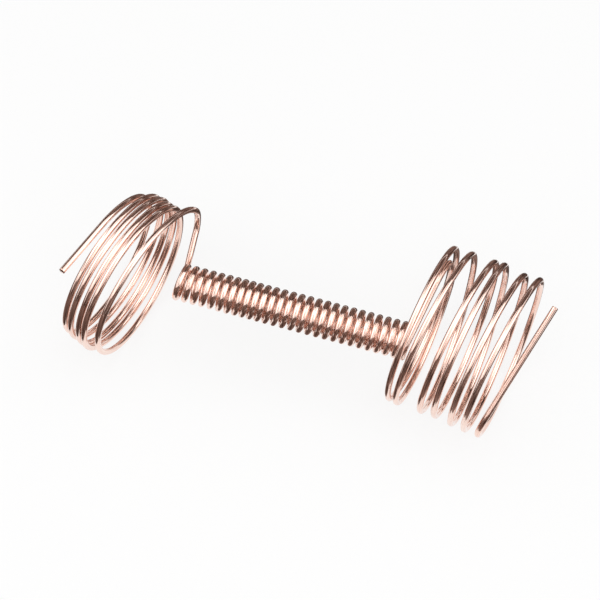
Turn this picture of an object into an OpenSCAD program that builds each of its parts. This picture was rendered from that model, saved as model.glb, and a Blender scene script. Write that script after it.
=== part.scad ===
// Immersion wort chiller: one bare copper tube, bent into a close coil of large
// loops, a long tight coil in the middle and an open coil of large loops, with
// a straight open end on each outer coil. Millimetres, +Z up, X along the tight
// coil, the lowest loops of the two large coils standing on Z = 0.
// Every bend is a true circular arc that meets the next one end to end.

/* [Tube] */
// Outside diameter of the tube (1/4 inch soft copper)
tube_d = 6.35; // [4:0.05:8]
// Wall thickness of the tube
tube_wall = 0.8; // [0.5:0.1:1.2]

/* [Middle coil] */
// Number of turns of the tight coil
middle_turns = 27; // [8:1:30]
// Radius of the tight coil, to the centre of the tube
middle_r = 16.5; // [14:0.5:24]
// Advance of the tight coil in one turn, for a tube of pitch_d
middle_pitch = 8.9; // [8.6:0.1:12]
// How much the turns draw together at the tight spot
middle_squeeze = 0.14; // [0:0.01:0.16]

/* [Left coil] */
// Nominal radius of the left loops, to the centre of the tube
left_r = 81; // [70:0.5:95]
// Nominal advance of the left coil in one turn, for a tube of pitch_d
left_pitch = 8; // [8:0.5:12]
// Turn of the left coil's axis about Z, away from the tight coil's axis
left_yaw = -16.5; // [-25:0.5:-5]
// Middle of the left coil to the first turn of the tight coil, along X
left_gap = 54.5; // [50:0.5:90]

/* [Right coil] */
// Nominal radius of the right loops, to the centre of the tube
right_r = 81.5; // [70:0.5:95]
// Nominal advance of the right coil in one turn, for a tube of pitch_d
right_pitch = 16; // [14:0.5:20]
// Turn of the right coil's axis about Z, away from the tight coil's axis
right_yaw = -9.5; // [-20:0.5:0]
// Last turn of the tight coil to the middle of the right coil, along X
right_gap = 53.5; // [50:0.5:90]

/* [Tails] */
// Length of the straight end of the left tail
left_tail_l = 63; // [40:5:140]
// Length of the straight end of the right tail
right_tail_l = 123; // [40:2:140]

/* [Seat] */
// Height of the tight coil's axis above the floor
middle_h = 83; // [70:1:95]
// Depth of the worn flats that the lowest loops stand on
flat_depth = 0.5; // [0.2:0.1:0.6]

/* [Hidden] */
copper = [0.80, 0.50, 0.40];
tube_r = tube_d / 2;
bore_r = tube_r - tube_wall;
// The tube that the three pitches are for. With a thicker or thinner tube the
// turns are wound as far apart as before, surface to surface.
pitch_d = 6.35;
function advance(pitch) = pitch + (tube_d - pitch_d);

// The coils are bent by hand, so their half turns differ a little. Each entry
// is one half turn, starting from a rear half turn that runs down the back.
// Radius of each left half turn, more or less than left_r
left_waver = [-4.5, -1.5, -0.5, 0, 0.5, 0, 0.5, 0.5, -1, 3.5];
// Advance of each left half turn when one turn's nominal advance is 8
left_steps = [3.5, 7, 1, 7, 3, 5, 2, 5.5, 9, 9.5];
// Radius of each right half turn, more or less than right_r
right_waver = [-8, -0.5, 0, 1, 0, 0.5, 0, 0.5, 1, 0, 0, 1, 0.5];
// Advance of each right half turn when one turn's nominal advance is 16
right_steps = [-1.5, 1, 7.5, 11, 14.5, 9, 5.5, 4.5, 13.5, 8.5, 6, 10, 4];

// Each coil's bends meet on two lines, one along its top rear and one along its
// bottom front. lean_* is how far the top line leans back from the vertical.
left_lean = 71;
right_lean = 68;
middle_lean = 68;
// First joint of each large coil: height on its joint line, and along its axis
left_start = [67.5, -20.5];
right_start = [66.5, -42.5];

// Bend radii where the tube passes from one coil to the next
left_top_bend = 24;
left_low_bend = 24;
right_low_bend = 17;
right_top_bend = 26;
// Tails: bend radius, bend angle and sideways lean
left_tail_r = 79;
left_tail_a = 66;
left_tail_lean = -3;
right_tail_r = 30;
right_tail_a = 80;
right_tail_lean = 9.5;

// Where the coils stand: X and Y of the tight coil's middle, and how far the
// large coils' middles lie to the front or rear of it
middle_x = -18.1;
middle_y = -6.5;
left_y = 0.5;
right_y = 14.5;

// ---- small helpers -------------------------------------------------------
function unit(v) = v / norm(v);
function snap(v, g) = round(v / g) * g;
function total(v, i = 0) = i < len(v) ? v[i] + total(v, i + 1) : 0;

// A coil's frame: [along its joint line, to the front, along its axis]
function frame(yaw, lean) = let(
    a = [cos(yaw), sin(yaw), 0],
    u = [-sin(yaw) * sin(lean), cos(yaw) * sin(lean), cos(lean)])
    [u, cross(a, u), a];
function to_world(f, o, p) = o + f[0] * p[0] + f[1] * p[1] + f[2] * p[2];

// ---- coils ---------------------------------------------------------------
// Tilt of a half turn, as its cosine and sine, on a fine grid so that its ends
// land exactly on its neighbours' ends
function tilt(r, h) = let(
    q = h / (2 * r),
    c = snap(sqrt(1 - q * q), 1e-6),
    s = sqrt(1 - c * c))
    [c, snap(s, s < 0.1 ? 1e-7 : 1e-6) * sign(h)];
function closing(t) = let(n = norm(t)) (2 * n + 1) / (3 * n);

// Joints of a coil, each [height on the joint line, place along the axis].
// A half turn that goes up runs round the front, one that goes down the rear.
function joints(rs, hs, p, up, i = 0) = i == len(rs) ? [p] : let(
    t = tilt(rs[i], hs[i]),
    d = 2 * rs[i] * closing(t),
    q = up ? [p[0] + d * t[0], p[1] + d * t[1]]
           : [p[0] - d * t[0], p[1] + d * t[1]])
    concat([p], joints(rs, hs, q, !up, i + 1));

// Points along one half turn, for measuring
function half_points(p, q, r, up, n = 24) = let(
    m = (p + q) / 2, e = (up ? q - p : p - q) / (2 * r))
    [for (k = [0 : n - 1]) let(a = 180 * (up ? n - k : k) / n)
        [m[0] + r * cos(a) * e[0], (up ? 1 : -1) * r * sin(a), m[1] + r * cos(a) * e[1]]];
function coil_points(js, rs, up) =
    [for (i = [0 : len(rs) - 1]) each half_points(js[i], js[i + 1], rs[i], i % 2 == 0 ? up : !up)];
// Least distance between the tube and its own next turn, surface to surface
function least_gap(js, rs, up) = let(pts = coil_points(js, rs, up), n = len(pts))
    min([for (i = [0 : n - 37]) min([for (k = [i + 36 : min(i + 60, n - 1)]) norm(pts[i] - pts[k])])]) - tube_d;

// Depth of the lowest point of each rear half turn below the coil's axis
function lows(js, rs, lean) = [for (i = [0 : 2 : len(rs) - 1]) let(
    m = (js[i][0] + js[i + 1][0]) / 2,
    c = abs(js[i][0] - js[i + 1][0]) / (2 * rs[i]))
    m * cos(lean) - rs[i] * sqrt(pow(cos(lean) * c, 2) + pow(sin(lean), 2)) - tube_r];

module ring() { difference() { circle(tube_r, $fn = 24); circle(bore_r, $fn = 24); } }

// Moves by v, in a coarse step and a fine one
module shift(v) {
    c = [for (x = v) snap(x, 0.1)];
    translate(c) translate(v - c) children();
}

module half_turn(p, q, r, h, up) {
    t = tilt(r, h);
    s = up ? t[1] : -t[1];
    shift([(p[0] + q[0]) / 2, 0, (p[1] + q[1]) / 2])
        multmatrix([[t[0], 0, -s, 0], [0, 1, 0, 0], [s, 0, t[0], 0], [0, 0, 0, 1]])
            rotate([0, 0, up ? 0 : 180])
                rotate_extrude(angle = 180, $fn = 72) translate([r, 0]) ring();
}

module coil(js, rs, hs, up) {
    for (i = [0 : len(rs) - 1])
        half_turn(js[i], js[i + 1], rs[i], hs[i], i % 2 == 0 ? up : !up);
}

// Puts children drawn on the axes e at the point o
module at_frame(o, e) {
    shift(o) multmatrix([for (k = [0 : 2]) [e[0][k], e[1][k], e[2][k], 0]]) children();
}

// Everything below the floor
module below_floor() { translate([-400, -300, -20]) cube([800, 600, 20]); }

// ---- links and tails -----------------------------------------------------
// A tube that leaves p0 along t0, bends with radius ra, runs straight, bends
// with radius rb and arrives at p3 along t3. The direction of its straight
// part is found by stepping towards the line between the two bends' ends.
function side(t, s) = unit(s - (s * t) * t);
function bend_end(p, t, s, r) = let(n = side(t, s), a = acos(t * s))
    p + r * n * (1 - cos(a)) + r * t * sin(a);
function aim(p0, t0, ra, p3, t3, rb, s, k = 80) = k == 0 ? s : let(
    p1 = bend_end(p0, t0, s, ra),
    p2 = bend_end(p3, -t3, -s, rb))
    aim(p0, t0, ra, p3, t3, rb, unit(s + unit(p2 - p1)), k - 1);
// [start of the straight, its axes, its length, first angle, last angle, turn of the last bend]
function link(p0, t0, ra, p3, t3, rb) = let(
    s = aim(p0, t0, ra, p3, t3, rb, unit(p3 - p0)),
    p1 = bend_end(p0, t0, s, ra),
    p2 = bend_end(p3, -t3, -s, rb),
    x = -side(s, t0), y = cross(s, x),
    n = side(s, t3))
    [p1, [x, y, s], norm(p2 - p1), acos(t0 * s), acos(t3 * s), atan2(n * y, n * x)];

// Bend that ends at the origin along +Z, its centre on +X
module bend_in(r, a) {
    translate([r, 0, 0]) rotate([-90, 0, 0]) rotate([0, 0, 180])
        mirror([0, 1, 0]) rotate_extrude(angle = a, $fn = 72) translate([r, 0]) ring();
}
// Bend that starts at the origin along +Z, its centre on +X
module bend_out(r, a) { mirror([0, 0, 1]) bend_in(r, a); }
module straight(l) {
    difference() { cylinder(h = l, r = tube_r, $fn = 24); cylinder(h = l, r = bore_r, $fn = 24); }
}

// [cosine, sine] of the angle nearest to a at which both end on the sixth
// place and still lie on the unit circle, so that the turned bend keeps its size
function even_turn(a, n = 40) = let(
    cs = [for (i = [-n : n]) let(c = snap(cos(a), 1e-6) + i * 1e-6) if (abs(c) <= 1)
        [c, snap(sqrt(1 - c * c), 1e-6)]],
    es = [for (c = cs) abs(c * c - 1)],
    best = cs[[for (i = [0 : len(es) - 1]) if (es[i] == min(es)) i][0]])
    [best[0], best[1] * (sin(a) < 0 ? -1 : 1)];

module link_tube(k, ra, rb) {
    l = snap(k[2], 0.001);
    w = even_turn(k[5]);
    at_frame(k[0], k[1]) {
        bend_in(ra, k[3]);
        straight(l);
        translate([0, 0, l])
            multmatrix([[w[0], -w[1], 0, 0], [w[1], w[0], 0, 0], [0, 0, 1, 0], [0, 0, 0, 1]])
                bend_out(rb, k[4]);
    }
}

// A tail: leaves the point o along t, bends towards w, then runs straight.
// [start of the straight, its axes]
function tail(o, t, w, r, a) = let(s = t * cos(a) + w * sin(a), x = w * cos(a) - t * sin(a))
    [o + r * w * (1 - cos(a)) + r * t * sin(a), [x, cross(s, x), s]];
module tail_tube(k, r, a, l) {
    at_frame(k[0], k[1]) { bend_in(r, a); straight(l); }
}

// ---- sizes that follow ---------------------------------------------------
middle_rs = [for (i = [1 : 2 * middle_turns]) middle_r];
middle_hs = [for (i = [1 : 2 * middle_turns])
    advance(middle_pitch) / 2 * (1 - middle_squeeze * exp(-pow((i - 17) / 5, 2)))];
middle_l = total(middle_hs);
middle_js = joints(middle_rs, middle_hs, [-middle_r, -middle_l / 2], true);
left_rs = [for (w = left_waver) left_r + w];
left_hs = left_steps * advance(left_pitch) / 8;
left_js = joints(left_rs, left_hs, left_start + [0, total(left_steps - left_hs) / 2], false);
right_rs = [for (w = right_waver) right_r + w];
right_hs = right_steps * advance(right_pitch) / 16;
right_js = joints(right_rs, right_hs, right_start + [0, total(right_steps - right_hs) / 2], false);

left_f = frame(left_yaw, left_lean);
right_f = frame(right_yaw, right_lean);
middle_f = frame(0, middle_lean);
middle_o = [middle_x, middle_y, middle_h];
left_o = [middle_x - middle_l / 2 - left_gap, middle_y + left_y,
          -min(lows(left_js, left_rs, left_lean)) - flat_depth];
right_o = [middle_x + middle_l / 2 + right_gap, middle_y + right_y,
           -min(lows(right_js, right_rs, right_lean)) - flat_depth];

function on(f, o, j) = to_world(f, o, [j[0], 0, j[1]]);
left_first = on(left_f, left_o, left_js[0]);
left_last = on(left_f, left_o, left_js[len(left_js) - 1]);
middle_first = on(middle_f, middle_o, middle_js[0]);
middle_last = on(middle_f, middle_o, middle_js[len(middle_js) - 1]);
right_first = on(right_f, right_o, right_js[0]);
right_last = on(right_f, right_o, right_js[len(right_js) - 1]);

left_k = link(left_last, -left_f[1], left_top_bend, middle_first, middle_f[1], left_low_bend);
right_k = link(middle_last, middle_f[1], right_low_bend, right_first, -right_f[1], right_top_bend);
left_t = tail(left_first, left_f[1],
    -left_f[0] * cos(left_tail_lean) + left_f[2] * sin(left_tail_lean), left_tail_r, left_tail_a);
right_t = tail(right_last, right_f[1],
    right_f[0] * cos(right_tail_lean) + right_f[2] * sin(right_tail_lean), right_tail_r, right_tail_a);

echo(least_gap_left = least_gap(left_js, left_rs, false));
echo(least_gap_middle = least_gap(middle_js, middle_rs, true));
echo(least_gap_right = least_gap(right_js, right_rs, false));
echo(left_end = left_t[0] + left_t[1][2] * left_tail_l, left_way = left_t[1][2]);
echo(right_end = right_t[0] + right_t[1][2] * right_tail_l, right_way = right_t[1][2]);
echo(left_o = left_o, right_o = right_o, middle_o = middle_o, middle_l = middle_l);
echo(left_lows = lows(left_js, left_rs, left_lean) + [for (i = [1 : 5]) left_o[2]],
     right_lows = [for (v = lows(right_js, right_rs, right_lean)) v + right_o[2]]);

// ---- the pieces ----------------------------------------------------------
module left_tail() { color(copper) tail_tube(left_t, left_tail_r, left_tail_a, left_tail_l); }
module left_coil() {
    color(copper) difference() {
        at_frame(left_o, left_f) coil(left_js, left_rs, left_hs, false);
        below_floor();
    }
}
module left_link() { color(copper) link_tube(left_k, left_top_bend, left_low_bend); }
module middle_coil() { color(copper) at_frame(middle_o, middle_f) coil(middle_js, middle_rs, middle_hs, true); }
module right_link() { color(copper) link_tube(right_k, right_low_bend, right_top_bend); }
module right_coil() {
    color(copper) difference() {
        at_frame(right_o, right_f) coil(right_js, right_rs, right_hs, false);
        below_floor();
    }
}
module right_tail() { color(copper) tail_tube(right_t, right_tail_r, right_tail_a, right_tail_l); }

left_tail();
left_coil();
left_link();
middle_coil();
right_link();
right_coil();
right_tail();
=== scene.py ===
"""Looks of the bare copper tube coil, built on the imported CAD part.

The whole object is one tube. Its centre line is laid out here by the same rules and sizes
as the CAD part, swept as one fine round tube, and cut into the CAD part's seven sections.
The tube is worked out in millimetres, and its meshes are written in metres.
"""
import math
import bpy
import numpy as np
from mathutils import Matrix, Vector


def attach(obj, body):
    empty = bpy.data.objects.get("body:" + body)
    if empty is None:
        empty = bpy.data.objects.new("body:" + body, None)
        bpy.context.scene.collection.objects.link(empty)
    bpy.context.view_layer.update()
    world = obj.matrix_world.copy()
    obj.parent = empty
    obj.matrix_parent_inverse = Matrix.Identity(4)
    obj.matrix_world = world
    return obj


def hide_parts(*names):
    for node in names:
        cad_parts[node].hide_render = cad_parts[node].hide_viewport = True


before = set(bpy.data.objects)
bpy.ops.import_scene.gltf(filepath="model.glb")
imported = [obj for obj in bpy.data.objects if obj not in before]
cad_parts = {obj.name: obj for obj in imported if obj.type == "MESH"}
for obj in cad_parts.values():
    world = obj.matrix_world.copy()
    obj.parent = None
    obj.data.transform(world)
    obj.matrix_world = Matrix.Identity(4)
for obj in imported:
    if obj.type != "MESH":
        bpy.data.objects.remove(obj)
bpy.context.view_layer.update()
SEED = 7


def linked(name, data):
    """A new object, put into the scene."""
    ob = bpy.data.objects.new(name, data)
    bpy.context.scene.collection.objects.link(ob)
    return ob


def material(name):
    m = bpy.data.materials.new(name)
    m.use_nodes = True
    m.node_tree.nodes.clear()
    return m, m.node_tree


def node(nt, kind, inputs=None, **props):
    """A new shader node. Each of its inputs is linked to a socket or set to a value."""
    n = nt.nodes.new(kind)
    for k, v in props.items():
        setattr(n, k, v)
    for k, v in (inputs or {}).items():
        if isinstance(v, bpy.types.NodeSocket):
            nt.links.new(v, n.inputs[k])
        else:
            n.inputs[k].default_value = v
    return n


def maths(nt, op, a, b):
    return node(nt, "ShaderNodeMath", {0: a, 1: b}, operation=op).outputs[0]


def remap(nt, v, a, b, c=0.0, d=1.0):
    """Maps v from the range a to b to the range c to d, and clamps it."""
    return node(nt, "ShaderNodeMapRange", {"Value": v, "From Min": a, "From Max": b,
                                           "To Min": c, "To Max": d}).outputs[0]


def background_rays(nt):
    """1 for the rays that see the pale background: from the camera, a reflection or glass."""
    ray = node(nt, "ShaderNodeLightPath").outputs
    seen = maths(nt, "MAXIMUM", ray["Is Camera Ray"], ray["Is Glossy Ray"])
    return maths(nt, "MAXIMUM", seen, ray["Is Transmission Ray"])


# ---------------------------------------------------------------- camera
# Azimuth, elevation, distance (m), aim (m) and lens (mm) were fitted to the photograph
AZ, EL, DIST = math.radians(16.0), math.radians(66.5), 2.5
AIM = Vector((-0.0146, 0.0085, 0.080))
LENS, SENSOR = 150.0, 36.0
towards = Vector((math.sin(AZ) * math.cos(EL), -math.cos(AZ) * math.cos(EL), math.sin(EL)))
cam_data = bpy.data.cameras.new("camera")
cam_data.sensor_fit = "HORIZONTAL"
cam_data.sensor_width, cam_data.lens = SENSOR, LENS
cam_data.clip_start, cam_data.clip_end = 0.05, 60.0
camera = linked("camera", cam_data)
camera.location = AIM + DIST * towards
camera.rotation_euler = (AIM - camera.location).to_track_quat("-Z", "Y").to_euler()
bpy.context.scene.camera = camera

# ---------------------------------------------------------------- the tube's sizes, in mm
TUBE_R, BORE_R = 3.175, 2.375
# Each coil is a chain of half turns: their radii, and how far each advances along the coil
LEFT_RS = 81 + np.array([-4.5, -1.5, -0.5, 0, 0.5, 0, 0.5, 0.5, -1, 3.5])
LEFT_HS = np.array([3.5, 7, 1, 7, 3, 5, 2, 5.5, 9, 9.5])
RIGHT_RS = 81.5 + np.array([-8, -0.5, 0, 1, 0, 0.5, 0, 0.5, 1, 0, 0, 1, 0.5])
RIGHT_HS = np.array([-1.5, 1, 7.5, 11, 14.5, 9, 5.5, 4.5, 13.5, 8.5, 6, 10, 4])
MID_R, MID_TURNS, MID_PITCH = 16.5, 27, 8.9
# The share by which the tight coil's turns lie closer, at which half turn, and over how many
MID_SQUEEZE, SQUEEZE_AT, SQUEEZE_OVER = 0.14, 17, 5.0
# The slope at which its turns lean, the step at their top and bottom, and the turns at each
# end over which both fade out
MID_LEAN, MID_STEP, MID_FADE = math.tan(math.radians(6.3)), 0.7, 1.5
# Each coil's middle, and where the two large ones' first half turns start in it
LEFT_O, LEFT_START = np.array([-189.989, -6.0, 86.8785]), (67.5, -20.5)
RIGHT_O, RIGHT_START = np.array([152.789, 8.0, 84.1289]), (66.5, -42.5)
MID_O = np.array([-18.1, -6.5, 83.0])
# Bend radii of the links at their left and right ends
LEFT_LINK, RIGHT_LINK = (24, 24), (17, 26)
LINK_ROUNDS = 80  # in which the straight between them is found
# Tails: how far each leans sideways, bend radius, bend angle, straight length
LEFT_TAIL, RIGHT_TAIL = (-3.0, 79.0, 66.0, 63.0), (9.5, 30.0, 80.0, 123.0)
# Distance between points of the path
LARGE_STEP, TIGHT_STEP, LINK_STEP, LINK_LINE_STEP = 2.6, 1.25, 1.3, 2.5
TAIL_STEP, TAIL_LINE_STEP = 1.6, 2.0
SIDES = 40  # points round the tube
MM_PER_M = 1000


# ---------------------------------------------------------------- the tube's path
def unit(v):
    return v / np.linalg.norm(v)


def axes(yaw, lean):
    """A coil's own directions: up its joint line, to the front, and along its axis."""
    p, f = math.radians(yaw), math.radians(lean)
    a = np.array([math.cos(p), math.sin(p), 0.0])
    u = np.array([-math.sin(p) * math.sin(f), math.cos(p) * math.sin(f), math.cos(f)])
    return u, np.cross(a, u), a


def joints(rs, hs, start, up):
    """Where a coil's half turns meet: up its joint line, and along its axis."""
    out = [np.array(start, float)]
    for r, h in zip(rs, hs):
        s = h / (2 * r)
        d = 2 * r * np.array([math.sqrt(1 - s * s), s])
        out.append(out[-1] + (d if up else np.array([-d[0], d[1]])))
        up = not up
    return out


def coil_points(js, rs, up, step):
    """Points along a chain of half turns, in the coil's own directions."""
    pts = [np.array([js[0][0], 0.0, js[0][1]])]
    for i, r in enumerate(rs):
        p, q = js[i], js[i + 1]
        m, e = (p + q) / 2, (q - p) / (2 * r) * (1 if up else -1)
        n = max(8, int(round(math.pi * r / step)))
        for k in range(1, n + 1):
            t = math.pi * ((n - k) / n if up else k / n)
            pts.append(np.array([m[0] + r * math.cos(t) * e[0],
                                 (r if up else -r) * math.sin(t),
                                 m[1] + r * math.cos(t) * e[1]]))
        up = not up
    return np.array(pts)


def placed(pts, o, ax):
    return o + pts @ np.array(ax)


def arc(p, t, w, r, a, step):
    """From p along t, bending towards w by the angle a (radians)."""
    n = max(6, int(round(r * a / step)))
    k = np.linspace(0, a, n + 1)[:, None]
    return p + r * w * (1 - np.cos(k)) + r * t * np.sin(k)


def line(p, q, step):
    n = max(2, int(round(np.linalg.norm(q - p) / step)))
    k = np.linspace(0, 1, n + 1)[:, None]
    return p * (1 - k) + q * k


def link_points(p0, t0, p3, t3, radii):
    """From p0 along t0: a bend, a straight and a bend that comes in to p3 along t3."""
    ra, rb = radii

    def side(t, s):
        return unit(s - (s @ t) * t)

    def bend_end(p, t, s, r):
        a = math.acos(max(-1, min(1, t @ s)))
        return p + r * side(t, s) * (1 - math.cos(a)) + r * t * math.sin(a)

    # The straight's direction, from the bends' ends, which themselves follow from it
    s = unit(p3 - p0)
    for _ in range(LINK_ROUNDS):
        p1, p2 = bend_end(p0, t0, s, ra), bend_end(p3, -t3, -s, rb)
        s = unit(s + unit(p2 - p1))
    first = arc(p0, t0, side(t0, s), ra, math.acos(t0 @ s), LINK_STEP)
    last = arc(p3, -t3, side(-t3, -s), rb, math.acos(t3 @ s), LINK_STEP)[::-1]
    return np.vstack([first, line(first[-1], last[0], LINK_LINE_STEP)[1:-1], last])


def tail_points(o, t, up, sideways, lean, r, a, length):
    """From o along t: a bend towards up, leaning sideways, and a straight. Angles in degrees."""
    lean, a = math.radians(lean), math.radians(a)
    w = up * math.cos(lean) + sideways * math.sin(lean)
    bend = arc(o, t, w, r, a, TAIL_STEP)
    d = w * math.sin(a) + t * math.cos(a)
    return np.vstack([bend, line(bend[-1], bend[-1] + length * d, TAIL_LINE_STEP)[1:]])


# Each coil's turn about the vertical and its lean, in degrees
LEFT_AX, RIGHT_AX, MID_AX = axes(-16.5, 71), axes(-9.5, 68), axes(0, 68)
left_js = joints(LEFT_RS, LEFT_HS, LEFT_START, False)
left_pts = placed(coil_points(left_js, LEFT_RS, False, LARGE_STEP), LEFT_O, LEFT_AX)
right_js = joints(RIGHT_RS, RIGHT_HS, RIGHT_START, False)
right_pts = placed(coil_points(right_js, RIGHT_RS, False, LARGE_STEP), RIGHT_O, RIGHT_AX)

mid_rs = [MID_R] * (2 * MID_TURNS)
from_squeeze = (np.arange(1, 2 * MID_TURNS + 1) - SQUEEZE_AT) / SQUEEZE_OVER
mid_hs = MID_PITCH / 2 * (1 - MID_SQUEEZE * np.exp(-from_squeeze ** 2))
mid_js = joints(mid_rs, mid_hs, (-MID_R, -mid_hs.sum() / 2), True)
mid_coil = coil_points(mid_js, mid_rs, True, TIGHT_STEP)
# Hand-wound turns lean a little along the coil and step on mostly at its top and bottom,
# except where the tube comes in and goes out
from_end = (mid_hs.sum() / 2 - np.abs(mid_coil[:, 2])) / (MID_FADE * MID_PITCH)
from_end = np.clip(from_end, 0, 1)
leaning = MID_LEAN * mid_coil[:, 1]
stepping = 2 * MID_STEP * mid_coil[:, 0] * mid_coil[:, 1] / MID_R ** 2
mid_coil[:, 2] += (leaning - stepping) * from_end ** 2 * (3 - 2 * from_end)
mid_pts = placed(mid_coil, MID_O, MID_AX)

SECTIONS = {
    "left_tail": tail_points(left_pts[0], LEFT_AX[1], -LEFT_AX[0], LEFT_AX[2], *LEFT_TAIL)[::-1],
    "left_coil": left_pts,
    "left_link": link_points(left_pts[-1], -LEFT_AX[1], mid_pts[0], MID_AX[1], LEFT_LINK),
    "middle_coil": mid_pts,
    "right_link": link_points(mid_pts[-1], MID_AX[1], right_pts[0], -RIGHT_AX[1], RIGHT_LINK),
    "right_coil": right_pts,
    "right_tail": tail_points(right_pts[-1], RIGHT_AX[1], RIGHT_AX[0], RIGHT_AX[2], *RIGHT_TAIL),
}
# Neighbours share the point where they meet. cuts has the path's point at each such place.
parts = list(SECTIONS.values())
path = np.vstack(parts[:1] + [p[1:] for p in parts[1:]])
cuts = [0] + [int(k) for k in np.cumsum([len(p) - 1 for p in parts])]
N = len(path)

# Directions along the path, and a ring direction carried along it without twist
legs = np.diff(path, axis=0)
length = np.linalg.norm(legs, axis=1)
along = np.concatenate([[0], np.cumsum(length)])
d = legs / length[:, None]
tan = np.vstack([d[:1], (d[1:] * length[:-1, None] + d[:-1] * length[1:, None]), d[-1:]])
tan /= np.linalg.norm(tan, axis=1)[:, None]
nrm = np.zeros((N, 3))
v = np.cross(tan[0], [0, 0, 1.0])
for i in range(N):
    v = v - (v @ tan[i]) * tan[i]
    v = v / np.linalg.norm(v)
    nrm[i] = v
bin_ = np.cross(tan, nrm)


def smooth(a, width):
    """Averages along the path over about `width` millimetres on each side."""
    pos = np.linspace(-1, 1, 9)
    weights = np.cos(pos * math.pi / 2) ** 2 + 1e-3
    out = np.zeros_like(a)
    for q, w in zip(pos, weights):
        at = along + q * width
        out += w * np.column_stack([np.interp(at, along, a[:, k]) for k in range(a.shape[1])])
    return out / weights.sum()


SMOOTH_OVER = 6.0  # mm
turn = np.zeros((N, 3))  # curvature in 1/mm, pointing to the inside of the bend
turn[1:-1] = (d[1:] - d[:-1]) / ((length[1:] + length[:-1]) / 2)[:, None]
turn = smooth(turn, SMOOTH_OVER)
size = np.linalg.norm(turn, axis=1)

# Hand-bent tube is never quite even: its line wavers by about a tenth of a millimetre, less
# where it is bent tighter, and not at all near its sawn ends
CALM_TO, CALM_OVER = 60, 120  # mm from an end without waver, and mm over which it comes in
TIGHT_R, LOOSE_OVER, TIGHT_SHARE = 20, 60, 0.2  # the same for bend radii, and the least share
rng = np.random.default_rng(SEED)


def waver(wave, amount):
    """Smooth random numbers along the path, about one for each `wave` millimetres."""
    n = int(along[-1] / wave) + 4
    knots = rng.normal(0, 1, n)
    x = along / wave
    i = np.clip(x.astype(int), 0, n - 2)
    f = x - i
    f = f * f * (3 - 2 * f)
    return amount * (knots[i] * (1 - f) + knots[i + 1] * f)


ends = np.minimum(along, along[-1] - along)
calm = np.clip((ends - CALM_TO) / CALM_OVER, 0, 1)
curve_r = 1 / np.maximum(size, 1e-4)
loose = np.clip((curve_r - TIGHT_R) / LOOSE_OVER, TIGHT_SHARE, 1)
# Two waves in each of the two directions across the tube: their length and size
shift = (waver(46, 0.10) + waver(19, 0.045))[:, None] * nrm
shift = shift + (waver(52, 0.10) + waver(21, 0.045))[:, None] * bin_
line_pts = path + shift * (calm * loose)[:, None]

# Ring radii: a bent tube flattens a little on the inside and outside of the bend and widens
# across it, most of all where it is bent as in the tight coil. All three are shares of the
# radius, and the last is how uneven it is along the tube.
FLATTEN, WIDEN, UNEVEN = 0.022, 0.012, 0.0022
theta = np.linspace(0, 2 * math.pi, SIDES, endpoint=False)
ct, st = np.cos(theta), np.sin(theta)
into = np.where(size[:, None] > 1e-5, turn / np.maximum(size, 1e-6)[:, None], 0)
ci, si = (into * nrm).sum(1), (into * bin_).sum(1)
face = ct[None] * ci[:, None] + st[None] * si[:, None]  # 1 inside the bend, -1 outside it
bent = np.clip(size * MID_R, 0, 1)[:, None]
R = TUBE_R * (1 + bent * (-FLATTEN * face ** 2 + WIDEN * (1 - face ** 2)))
R = R * (1 + (calm * waver(33, UNEVEN))[:, None])


# ---------------------------------------------------------------- the tube's meshes
# The sawn end's profile, as radius and depth: softened outer edge, face and reamed mouth, and
# then the bore, as far as both ends are straight
SAWN = [(TUBE_R, -0.32), (TUBE_R - 0.03, -0.17), (TUBE_R - 0.10, -0.07), (TUBE_R - 0.22, -0.02),
        (2.80, 0.0), (2.62, -0.02), (2.50, -0.09), (2.42, -0.22), (BORE_R, -0.45)]
BORE = [(BORE_R, -depth) for depth in (1, 2, 4, 7, 11, 16, 24, 34, 46, 60)]
SAW_MARKS = 0.05 * np.sin(theta * 2 + 0.7) + 0.03 * np.sin(theta * 5 + 2.0)
SAW_SHARE, SAW_SINK = 0.6, 0.05  # of the marks' depth that is left, and how far back they lie


def ring_points(i0, i1):
    """The tube's surface from the path's point i0 to before i1, as rings of SIDES points."""
    ring = ct[None, :, None] * nrm[i0:i1, None] + st[None, :, None] * bin_[i0:i1, None]
    return line_pts[i0:i1, None] + R[i0:i1, :, None] * ring


def sawn_end(k, side):
    """Rings of the sawn end at the path's point k, outside first, and where each point is in
    straight tube. side is -1 at the path's start and 1 at its end."""
    ring = ct[:, None] * nrm[k] + st[:, None] * bin_[k]
    rings, straight = [], []
    for r, z in SAWN + BORE:
        face_at = z + SAW_MARKS * SAW_SHARE - SAW_SINK if (r, z) in SAWN else np.full(SIDES, z)
        rings.append(line_pts[k] + r * ring + side * tan[k] * face_at[:, None])
        straight.append(np.stack([r * ct, r * st, np.full(SIDES, along[k] + side * z)], -1))
    return np.array(rings), np.array(straight)


def strip(rows, cols):
    """Four-sided faces between closed rings of cols points each."""
    a = np.arange(rows - 1)[:, None] * cols + np.arange(cols)[None]
    b = np.arange(rows - 1)[:, None] * cols + (np.arange(cols)[None] + 1) % cols
    return np.stack([a, b, b + cols, a + cols], -1).reshape(-1, 4)


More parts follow.
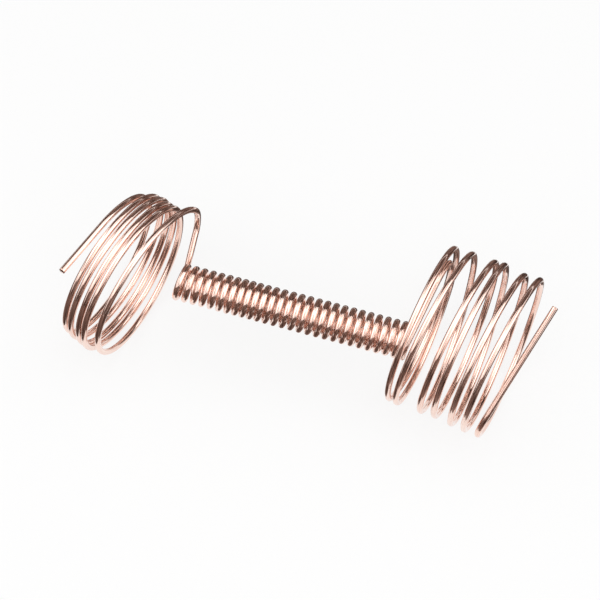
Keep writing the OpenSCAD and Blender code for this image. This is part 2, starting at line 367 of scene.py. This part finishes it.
def section(name, i0, i1, cut):
    """The tube from the path's point i0 to before i1. cut is -1 or 1 where the path's start or
    end in it is a sawn, open end, and otherwise 0."""
    outer = ring_points(i0, i1)
    straight = [TUBE_R * ct[None], TUBE_R * st[None], along[i0:i1, None]]
    straight = np.stack(np.broadcast_arrays(*straight), -1)
    # Normals straight out from the centre line, so that neighbouring sections shade as one tube
    before = max(i0 - 2, 0)
    du = np.roll(outer, -1, 1) - np.roll(outer, 1, 1)
    dv = np.gradient(ring_points(before, min(i1 + 2, N)), axis=0)[i0 - before:][:i1 - i0]
    normals = np.cross(du, dv)
    normals /= np.linalg.norm(normals, axis=2)[:, :, None]
    if cut:
        rings, rings_straight = sawn_end(i0 if cut < 0 else i1 - 1, cut)
        by_blender = np.zeros_like(rings)  # zero normals are filled in by Blender
    if cut < 0:
        outer = np.concatenate([rings[::-1], outer[1:]])
        straight = np.concatenate([rings_straight[::-1], straight[1:]])
        normals = np.concatenate([by_blender, normals[1:]])
    elif cut > 0:
        outer = np.concatenate([outer[:-1], rings])
        straight = np.concatenate([straight[:-1], rings_straight])
        normals = np.concatenate([normals[:-1], by_blender])

    verts = outer.reshape(-1, 3)
    # The two large coils stand on the worn undersides of their lowest loops
    verts[:, 2] = np.maximum(verts[:, 2], 0.0)
    faces = strip(len(outer), SIDES)
    me = bpy.data.meshes.new(name + "_tube")
    me.vertices.add(len(verts))
    me.vertices.foreach_set("co", (verts / MM_PER_M).astype(np.float32).ravel())
    me.loops.add(faces.size)
    me.loops.foreach_set("vertex_index", faces.astype(np.int32).ravel())
    me.polygons.add(len(faces))
    me.polygons.foreach_set("loop_start", np.arange(0, faces.size, 4, dtype=np.int32))
    me.update(calc_edges=True)
    me.validate()
    me.polygons.foreach_set("use_smooth", np.ones(len(me.polygons), bool))
    at = me.attributes.new("straight", "FLOAT_VECTOR", "POINT")
    straight = (straight.reshape(-1, 3) / MM_PER_M).astype(np.float32)
    at.data.foreach_set("vector", straight.ravel())
    me.normals_split_custom_set_from_vertices(normals.reshape(-1, 3).tolist())
    me.update()
    return linked(name + "_tube", me)


# ---------------------------------------------------------------- copper
def bright_copper():
    """Bright drawn tube. Its nodes work on the tube as if it were straight, so that its marks
    run along it and not through the scene."""
    m, nt = material("bright_copper")
    straight = node(nt, "ShaderNodeAttribute", attribute_name="straight").outputs["Vector"]

    def noise(scale, detail, rough=0.55, distortion=0.0):
        """scale is how fine the pattern is across the tube, twice, and along it, per metre."""
        at = node(nt, "ShaderNodeVectorMath", {0: straight, 1: scale}, operation="MULTIPLY")
        return node(nt, "ShaderNodeTexNoise",
                    {"Vector": at.outputs[0], "Scale": 1.0, "Detail": detail,
                     "Roughness": rough, "Distortion": distortion}).outputs["Fac"]

    def mix(f, a, b):
        return node(nt, "ShaderNodeMix", {"Factor": f, 6: a, 7: b}, data_type="RGBA").outputs[2]

    def bump(strength, distance, height, **below):
        return node(nt, "ShaderNodeBump", {"Strength": strength, "Distance": distance,
                                           "Height": height, **below}).outputs[0]

    draw = noise((900, 900, 9), 3.0)            # fine lines left by the drawing die
    dull = noise((620, 620, 14), 2.0)           # duller lines among them, a little wider
    hands = noise((120, 120, 34), 4.0, 0.6)     # patches of handling film
    slow = noise((40, 40, 6), 2.0)              # slow change of tone along the length
    specks = noise((420, 420, 300), 2.0, 0.5)   # small brown tarnish specks
    rub = noise((260, 260, 60), 4.0, 0.65, 1.2)  # rubbed places

    tone = mix(remap(nt, slow, 0.35, 0.65), (0.975, 0.775, 0.69, 1), (0.955, 0.70, 0.605, 1))
    # Each mark: where it starts and ends in its noise, and the share of its colour there
    for mark, a, b, at_a, at_b, colour in (
            (hands, 0.52, 0.74, 0.0, 0.55, (0.87, 0.56, 0.46, 1)),
            (draw, 0.30, 0.52, 0.22, 0.0, (0.72, 0.37, 0.28, 1)),
            (dull, 0.28, 0.46, 0.34, 0.0, (0.60, 0.31, 0.23, 1)),
            (specks, 0.69, 0.76, 0.0, 0.6, (0.33, 0.14, 0.09, 1))):
        tone = mix(remap(nt, mark, a, b, at_a, at_b), tone, colour)
    rough = remap(nt, hands, 0.35, 0.75, 0.06, 0.13)
    for mark, a, b, at_a, at_b in ((draw, 0.3, 0.7, 0.03, -0.02),
                                   (rub, 0.55, 0.75, 0.0, 0.10),
                                   (dull, 0.48, 0.68, 0.0, 0.15)):
        rough = maths(nt, "ADD", rough, remap(nt, mark, a, b, at_a, at_b))
    # Bumps: strength, and depth in metres
    normal = bump(0.35, 0.00003, draw)
    normal = bump(0.5, 0.0004, slow, Normal=normal)
    normal = bump(0.25, 0.00004, rub, Normal=normal)
    bsdf = node(nt, "ShaderNodeBsdfPrincipled", {"Base Color": tone, "Metallic": 1.0,
                                                 "Roughness": rough, "Normal": normal})
    node(nt, "ShaderNodeOutputMaterial", {0: bsdf.outputs[0]})
    return m


copper = bright_copper()
for k, name in enumerate(SECTIONS):
    cut = -1 if k == 0 else 1 if k == len(SECTIONS) - 1 else 0
    ob = section(name, cuts[k], cuts[k + 1] + 1, cut)
    ob.data.materials.append(copper)
    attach(ob, "root")
    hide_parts(name)
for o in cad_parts.values():
    o.data.materials.clear()
    o.data.materials.append(copper)

# ---------------------------------------------------------------- floor and world, in m
# The floor lies just under the part. It shows as a pale background that keeps the shadow: its
# glow is the share of white in what the background's rays see of it.
FLOOR_HALF, FLOOR_Z, FLOOR_GLOW = 20.0, -0.0002, 0.8
# The world's light on the object, and what the background's rays see of it
WORLD_LIGHT, WORLD_SEEN = 0.36, 1.0
WHITE = (1, 1, 1, 1)

me = bpy.data.meshes.new("floor")
corners = [(x, y, 0) for x, y in ((-FLOOR_HALF, -FLOOR_HALF), (FLOOR_HALF, -FLOOR_HALF),
                                  (FLOOR_HALF, FLOOR_HALF), (-FLOOR_HALF, FLOOR_HALF))]
me.from_pydata(corners, [], [(0, 1, 2, 3)])
floor = linked("floor", me)
floor.location.z = FLOOR_Z
m, nt = material("pale_floor")
matt = node(nt, "ShaderNodeBsdfPrincipled", {"Base Color": (0.92, 0.92, 0.915, 1),
                                             "Roughness": 0.9})
glow = node(nt, "ShaderNodeEmission", {"Color": WHITE, "Strength": 1.0})
share = maths(nt, "MULTIPLY", background_rays(nt), FLOOR_GLOW)
both = node(nt, "ShaderNodeMixShader", {0: share, 1: matt.outputs[0], 2: glow.outputs[0]})
node(nt, "ShaderNodeOutputMaterial", {0: both.outputs[0]})
me.materials.append(m)

world = bpy.data.worlds.new("world")
bpy.context.scene.world = world
world.use_nodes = True
nt = world.node_tree
nt.nodes.clear()
strength = remap(nt, background_rays(nt), 0.0, 1.0, WORLD_LIGHT, WORLD_SEEN)
sky = node(nt, "ShaderNodeBackground", {"Color": WHITE, "Strength": strength})
node(nt, "ShaderNodeOutputWorld", {0: sky.outputs[0]})

# ---------------------------------------------------------------- softboxes, in m and W
# Two rows of three, about equally bright, turned a little over the object. The gaps between
# the boxes draw the dark lines that run along each tube.
BOX_X, BOX_Z, BOX_TURN = 0.2, 1.35, math.radians(12)
BOX_ROWS = {"back": (0.42, 1.38, 5.2), "front": (-1.08, 1.62, 5.9)}  # y, depth, watts per metre
BOX_COLUMNS = ((-1.85, 2.15), (0.0, 1.0), (1.85, 2.15))  # x and width
c, s = math.cos(BOX_TURN), math.sin(BOX_TURN)
for row, (y, depth, power) in BOX_ROWS.items():
    for k, (x, width) in enumerate(BOX_COLUMNS):
        name = "softbox_%s_%d" % (row, k)
        light = bpy.data.lights.new(name, "AREA")
        light.shape = "RECTANGLE"
        light.size, light.size_y = width, depth
        light.energy = power * width
        lamp = linked(name, light)
        lamp.location = BOX_X + x * c - y * s, x * s + y * c, BOX_Z
        lamp.rotation_euler.z = BOX_TURN
        lamp.visible_camera = False

# ---------------------------------------------------------------- flags: glowing cards that paint the copper's dark reflections
FLAG_POINTS = 64
# The cards' glow colour: the painted dark brown reflection in the copper
PAINTED_REFLECTION_COLOUR = (0.105, 0.072, 0.062, 1)
FLAG_DARKEST, FLAG_PALEST = 0.1, 2.5  # strengths of that colour between which its noise goes
DOME_R, HOLE_R = 6, 0.001  # the dome's size, and the inner edge of the flat cards


def painted_reflection_card(name, rings, at=(0, 0), grain=13.0, open_sides=0.0):
    """Dark brown card that glows and that only reflections see: it paints the copper's dark,
    streaky reflections.

    rings are half width, half depth and height of each of its edges, round the point at.
    open_sides leaves it open to the left and right, where the sine of the azimuth is less
    than that.
    """
    angles = [2 * math.pi * k / FLAG_POINTS for k in range(FLAG_POINTS)]
    verts = [(at[0] + rx * math.cos(a), at[1] + ry * math.sin(a), z)
             for rx, ry, z in rings for a in angles]
    faces = strip(len(rings), FLAG_POINTS)
    azimuth = 2 * math.pi * (faces[:, 0] % FLAG_POINTS + 0.5) / FLAG_POINTS
    faces = faces[np.abs(np.sin(azimuth)) >= open_sides]
    me = bpy.data.meshes.new(name)
    me.from_pydata(verts, [], faces.tolist())
    ob = linked(name, me)
    m, nt = material(name)
    here = node(nt, "ShaderNodeTexCoord").outputs["Object"]
    patches = node(nt, "ShaderNodeTexNoise", {"Vector": here, "Scale": grain, "Detail": 2.0})
    # The glow goes patchily between the two strengths, which paints streaks into the dark
    # reflections
    strength = remap(nt, patches.outputs["Fac"], 0.3, 0.7, FLAG_DARKEST, FLAG_PALEST)
    card = node(nt, "ShaderNodeEmission", {"Color": PAINTED_REFLECTION_COLOUR, "Strength": strength})
    node(nt, "ShaderNodeOutputMaterial", {0: card.outputs[0]})
    me.materials.append(m)
    ob.visible_camera = ob.visible_diffuse = ob.visible_shadow = False
    ob.visible_transmission = ob.visible_volume_scatter = False


# On the floor before and behind the tight coil: painted floor shade that only the copper's
# reflections show. Low round the whole object, and a dome over its front and rear: painted dark
# reflections.
painted_reflection_card("painted_floor_shade_front", [(0.120, 0.145, 0.0008), (HOLE_R, HOLE_R, 0.0008)], (-0.018, -0.165))
painted_reflection_card("painted_floor_shade_behind", [(0.245, 0.060, 0.0011), (HOLE_R, HOLE_R, 0.0011)], (0.0, 0.110))
painted_reflection_card("painted_reflection_low", [(0.33, 0.20, 0.0005), (0.42, 0.30, 0.13)])
painted_reflection_card("painted_reflection_dome", [(DOME_R * math.cos(t), DOME_R * math.cos(t), DOME_R * math.sin(t))
                   for t in np.radians([0, 15, 30, 45, 60, 75, 89])],
     grain=0.45, open_sides=0.6)

bpy.context.scene.view_settings.view_transform = "Standard"
